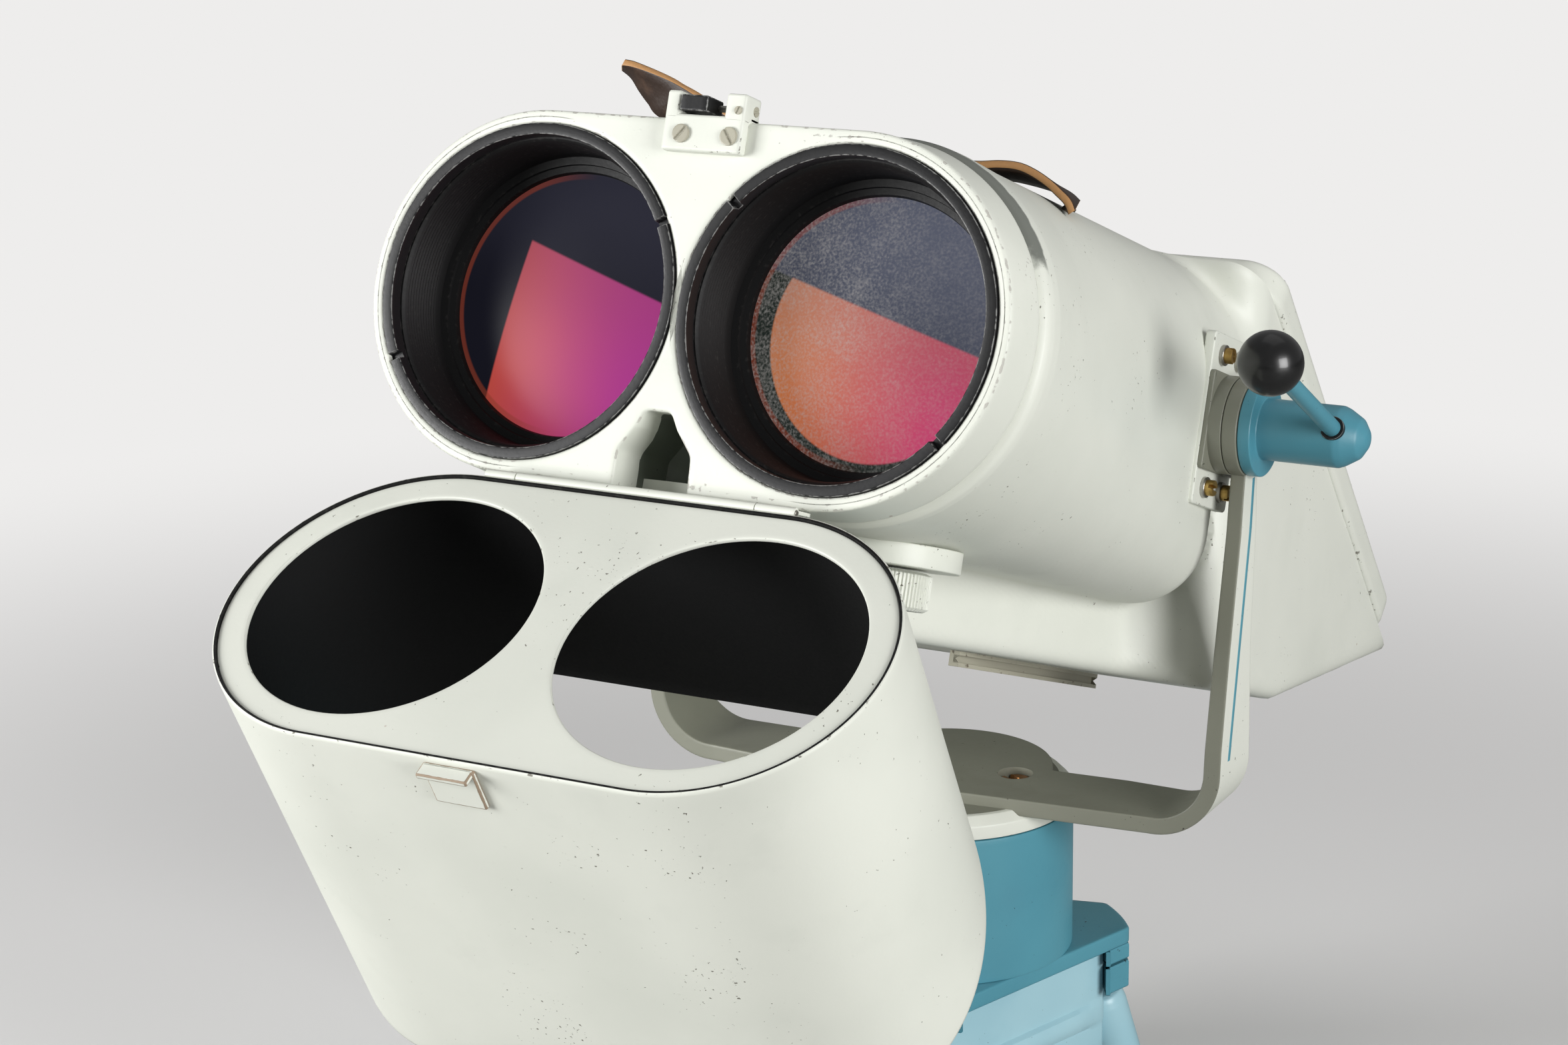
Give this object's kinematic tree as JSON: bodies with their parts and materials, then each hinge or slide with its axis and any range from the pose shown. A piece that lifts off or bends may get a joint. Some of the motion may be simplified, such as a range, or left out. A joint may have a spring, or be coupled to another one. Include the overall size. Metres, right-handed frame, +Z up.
{
  "type": "observation binoculars",
  "caption": "Large fixed-mount observation binoculars with tilted eyepieces, a hinged double lens hood, a forked tilt yoke with clamp lever and a panning column on a tripod head.",
  "frame": {"origin": "on the column's vertical axis, at the level of the leg sockets' lower ends", "axes": "+Z up along the column, the objectives and the hood face -Y and point a little up, +X along the tilt axis towards the clamp lever"},
  "size_m": [0.2854, 0.5005, 0.3875],
  "materials": {
    "body_paint": "pale grey-green orange-peel paint, chipped",
    "alloy_paint": "pale grey-green orange-peel paint over light alloy, chipped",
    "blue_paint": "teal blue gloss paint, chipped",
    "head_blue": "light blue gloss paint over a casting",
    "black_paint": "black paint worn to grey at the edges",
    "bare_steel": "bright steel, a little stained",
    "dark_steel": "blackened and worn steel",
    "brass": "dull brass",
    "bronze": "oiled bronze",
    "ball_black": "polished black",
    "cup_rubber": "matt black",
    "glass": "coated glass",
    "strap_leather": "dark leather with a tan cut edge"
  },
  "bodies": {
    "base": {"tripod_crown": "head_blue", "crown_screws": "brass", "base_plate": "blue_paint", "column": "blue_paint", "column_screws": "bare_steel", "bush_lower": "bronze", "bush_upper": "bronze"},
    "jaw": {"clamp_jaw": "blue_paint"},
    "pan": {"yoke": "body_paint", "yoke_inlay": "blue_paint", "rim_ring": "body_paint", "yoke_screws": "bare_steel", "spindle": "bare_steel", "spindle_nut": "bare_steel", "trunnion_cap": "blue_paint"},
    "lever": {"clamp_sleeve": "blue_paint", "lever_rod": "blue_paint", "lever_ball": "ball_black"},
    "binocular": {"housing": "alloy_paint", "rear_cover": "alloy_paint", "cover_screws": "bare_steel", "bezel_left": "black_paint", "bezel_right": "black_paint", "cell_left": "black_paint", "cell_right": "black_paint", "lens_left": "glass", "lens_right": "glass", "lens_rings": "black_paint", "baffles": "black_paint", "prism_left": "glass", "prism_right": "glass", "prism_seats": "dark_steel", "trunnion_plates": "body_paint", "trunnion_fixings": "brass", "pivots": "bare_steel", "latch_block": "body_paint", "body_screws": "bare_steel", "hinge_leaf": "body_paint", "hinge_pin": "bare_steel", "strap": "strap_leather", "strap_rivets": "brass", "rail": "bare_steel", "knob_flange": "alloy_paint", "latch_spring": "bare_steel"},
    "latch": {"latch_bar": "dark_steel"},
    "knob": {"filter_knob": "alloy_paint"},
    "hood": {"hood_shell": "alloy_paint", "hood_plate": "alloy_paint", "hood_leaf": "body_paint", "hood_catch": "body_paint"},
    "swing_left": {"swing_left": "alloy_paint", "eyepiece_left": "black_paint", "eyecup_left": "cup_rubber", "eye_lens_left": "glass"},
    "swing_right": {"swing_right": "alloy_paint", "eyepiece_right": "black_paint", "eyecup_right": "cup_rubber", "eye_lens_right": "glass"},
    "focus_left": {"focus_left": "black_paint"},
    "focus_right": {"focus_right": "black_paint"}
  },
  "joints": [
    {"name": "pan", "type": "hinge", "parent": "base", "child": "pan", "pos_m": [0, 0, 0.12], "axis": [0, 0, 1], "continuous": true},
    {"name": "tilt", "type": "hinge", "parent": "pan", "child": "binocular", "pos_m": [0, 0, 0.264], "axis": [1, 0, 0], "range_deg": [-10, 30]},
    {"name": "clamp_lever", "type": "hinge", "parent": "pan", "child": "lever", "pos_m": [0.125, 0, 0.264], "axis": [1, 0, 0], "range_deg": [-40, 25]},
    {"name": "jaw_slide", "type": "slide", "parent": "base", "child": "jaw", "axis": [0, 0, 1], "range_m": [-0.0025, 0]},
    {"name": "hood_hinge", "type": "hinge", "parent": "binocular", "child": "hood", "pos_m": [0, -0.20106, 0.27823], "axis": [1, 0, 0], "range_deg": [-138, 0]},
    {"name": "latch_slide", "type": "slide", "parent": "binocular", "child": "latch", "axis": [1, 0, 0], "range_m": [0, 0.0035], "stiffness_N_per_m": 200, "springref_m": -0.001, "deforming": ["latch_spring"]},
    {"name": "knob_turn", "type": "hinge", "parent": "binocular", "child": "knob", "pos_m": [0.046, -0.13858, 0.23995], "axis": [0, 0.342, 0.9397], "range_deg": [-45, 135]},
    {"name": "swing_right", "type": "hinge", "parent": "binocular", "child": "swing_right", "pos_m": [0.051, 0.13793, 0.22554], "axis": [0, 0.766, 0.6428], "range_deg": [-22, 22]},
    {"name": "swing_left", "type": "hinge", "parent": "binocular", "child": "swing_left", "pos_m": [-0.051, 0.13793, 0.22554], "axis": [0, 0.766, 0.6428], "range_deg": [-22, 22]},
    {"name": "focus_right", "type": "hinge", "parent": "swing_right", "child": "focus_right", "pos_m": [0.03246, 0.15226, 0.24735], "axis": [0, 0.766, 0.6428], "range_deg": [-60, 60]},
    {"name": "focus_left", "type": "hinge", "parent": "swing_left", "child": "focus_left", "pos_m": [-0.03246, 0.15226, 0.24735], "axis": [0, 0.766, 0.6428], "range_deg": [-60, 60]}
  ],
  "couplings": [
    {"joint": "swing_left", "follows": "swing_right", "ratio": -1}
  ]
}
